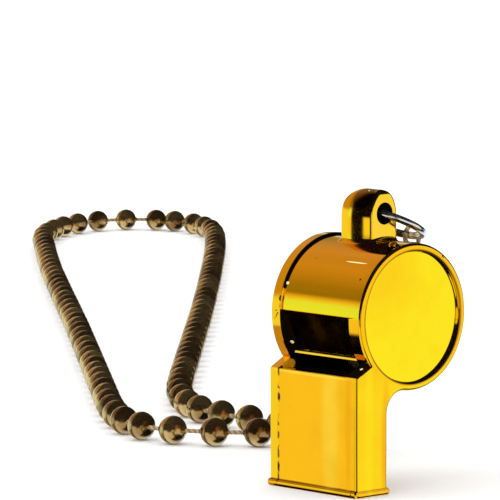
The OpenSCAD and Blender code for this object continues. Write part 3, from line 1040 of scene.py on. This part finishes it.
class NECKLACE_OT_beads(bpy.types.Operator):
    """Moulded beads, each with a parting line and a small neck at both ends of its hole"""
    bl_idname = "necklace.beads"
    bl_label = "Beads"

    def execute(self, context):
        scene = context.scene
        s, n = scene.whistle_sizes, scene.necklace_sizes
        mat = bead_material(scene.necklace_finishes)
        pattern = bead_pattern(n)
        for name, places in bead_places(n, s, whistle_plan(s)).items():
            beads = []
            for centre, heading in places:
                bead = pattern.copy()
                bead.data = pattern.data.copy()
                scene.collection.objects.link(bead)
                turn = heading.to_track_quat("Z", "Y").to_matrix().to_4x4()
                bead.matrix_world = Matrix.Translation(centre) @ turn
                beads.append(bead)
            obj = joined(name + "_gold", beads)
            place_applied()
            bpy.ops.object.shade_smooth()
            dress(obj, mat)
            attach(obj, "chain")
            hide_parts(name)
        bpy.data.objects.remove(pattern)
        return {"FINISHED"}


class NECKLACE_OT_string(bpy.types.Operator):
    """The string, from the ring's wire round the loop and back"""
    bl_idname = "necklace.string"
    bl_label = "String"

    def execute(self, context):
        scene = context.scene
        s, n = scene.whistle_sizes, scene.necklace_sizes
        path = smooth_path(string_route(n, s, whistle_plan(s)), STRING_STEPS, n.bead_d / 2)
        curve = bpy.data.curves.new("bead_string", "CURVE")
        curve.dimensions = "3D"
        curve.bevel_depth = n.string_d / 2
        curve.bevel_resolution = 2
        curve.use_fill_caps = True
        spline = curve.splines.new("POLY")
        spline.points.add(len(path) - 1)
        for point, q in zip(spline.points, path):
            point.co = (*q, 1)
        obj = bpy.data.objects.new("bead_string", curve)
        scene.collection.objects.link(obj)
        dress(obj, thread_material(scene.necklace_finishes))
        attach(obj, "chain")
        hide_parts("string")
        tuple(path[0])
        return {"FINISHED"}


class NECKLACE_OT_whistle(bpy.types.Operator):
    """The whistle's body: right side, chamber wall, front wall, tooth ridge and lug"""
    bl_idname = "necklace.whistle"
    bl_label = "Whistle body"

    def execute(self, context):
        s, f = context.scene.whistle_sizes, context.scene.necklace_finishes
        p = whistle_plan(s)
        root = p.right_in + s.wall_root
        plate = side_plate("right_side", s, p, p.chamber_r, s.round_rim, p.right, p.right_in)
        core = slab("chamber", core_outline(s, p), p.cover_in, root)
        section = [(p.front, 0), (p.front, p.mouth_h), (p.inner, p.mouth_h), (p.inner, 0)]
        wall = slab("front_wall", section, p.cover_in, root)

        def top_front(a, b):
            """An edge along X at the top of the wall's front."""
            top = min(a.z, b.z) > p.mouth_h - MERGE
            return top and abs(a.x - b.x) > PAST and max(a.y, b.y) < p.front + FLUSH

        bevel_edges(wall, top_front, WALL_EDGE, 3)
        ridge = tooth_ridge("ridge", s, p, p.right + s.ridge_out)
        obj = fused("whistle_gold", [plate, core, wall, ridge, lug(s, p)])
        smooth(obj)
        dress(obj, gold_material(f, s, p), bare_and_shade_material(f))
        bare_and_shaded_faces(obj, s, p)
        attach(obj, "whistle")
        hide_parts("whistle_body")
        return {"FINISHED"}


class NECKLACE_OT_cover(bpy.types.Operator):
    """The left side, glued to the whistle's body"""
    bl_idname = "necklace.cover"
    bl_label = "Side cover"

    def execute(self, context):
        s = context.scene.whistle_sizes
        p = whistle_plan(s)
        plate = side_plate("left_side", s, p, p.cover_r, s.cover_rim, p.left, p.cover_in, s.cover_draft)
        ridge = tooth_ridge("cover_ridge", s, p, p.left - s.ridge_out)
        obj = fused("side_cover_gold", [plate, ridge])
        smooth(obj)
        dress(obj, bpy.data.materials["metallised_gold"], bpy.data.materials["bare_plastic_and_shade"])
        bare_and_shaded_faces(obj, s, p)
        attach(obj, "whistle")
        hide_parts("side_cover")
        return {"FINISHED"}


class NECKLACE_OT_ring(bpy.types.Operator):
    """Bright wire for the ring"""
    bl_idname = "necklace.ring"
    bl_label = "Jump ring"

    def execute(self, context):
        dress(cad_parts["jump_ring"], wire_material(context.scene.necklace_finishes))
        return {"FINISHED"}


class NECKLACE_OT_pea(bpy.types.Operator):
    """Cork for the pea"""
    bl_idname = "necklace.pea"
    bl_label = "Pea"

    def execute(self, context):
        dress(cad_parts["pea"], shaded_cork_material(context.scene.necklace_finishes))
        return {"FINISHED"}


class NECKLACE_PT_sidebar(bpy.types.Panel):
    """The sizes, the finishes and the steps"""
    bl_label = "Whistle necklace"
    bl_space_type = "VIEW_3D"
    bl_region_type = "UI"
    bl_category = "Whistle"

    def draw(self, context):
        scene = context.scene
        for group in (scene.whistle_sizes, scene.necklace_sizes, scene.necklace_finishes):
            column = self.layout.column(align=True)
            for name in group.__annotations__:
                column.prop(group, name)
        for step in STEPS:
            self.layout.operator(step.bl_idname)


STEPS = (
    NECKLACE_OT_studio,
    NECKLACE_OT_beads,
    NECKLACE_OT_string,
    NECKLACE_OT_whistle,
    NECKLACE_OT_cover,
    NECKLACE_OT_ring,
    NECKLACE_OT_pea,
)
CLASSES = (WhistleSizes, NecklaceSizes, Finishes) + STEPS + (NECKLACE_PT_sidebar,)


def register():
    for cls in CLASSES:
        bpy.utils.register_class(cls)
    scene = bpy.types.Scene
    scene.whistle_sizes = bpy.props.PointerProperty(type=WhistleSizes)
    scene.necklace_sizes = bpy.props.PointerProperty(type=NecklaceSizes)
    scene.necklace_finishes = bpy.props.PointerProperty(type=Finishes)


def unregister():
    scene = bpy.types.Scene
    del scene.whistle_sizes
    del scene.necklace_sizes
    del scene.necklace_finishes
    for cls in reversed(CLASSES):
        bpy.utils.unregister_class(cls)


def main():
    register()
    bpy.ops.necklace.studio()
    bpy.ops.necklace.beads()
    bpy.ops.necklace.string()
    bpy.ops.necklace.whistle()
    bpy.ops.necklace.cover()
    bpy.ops.necklace.ring()
    bpy.ops.necklace.pea()
    deselect()


if __name__ == "__main__":
    main()
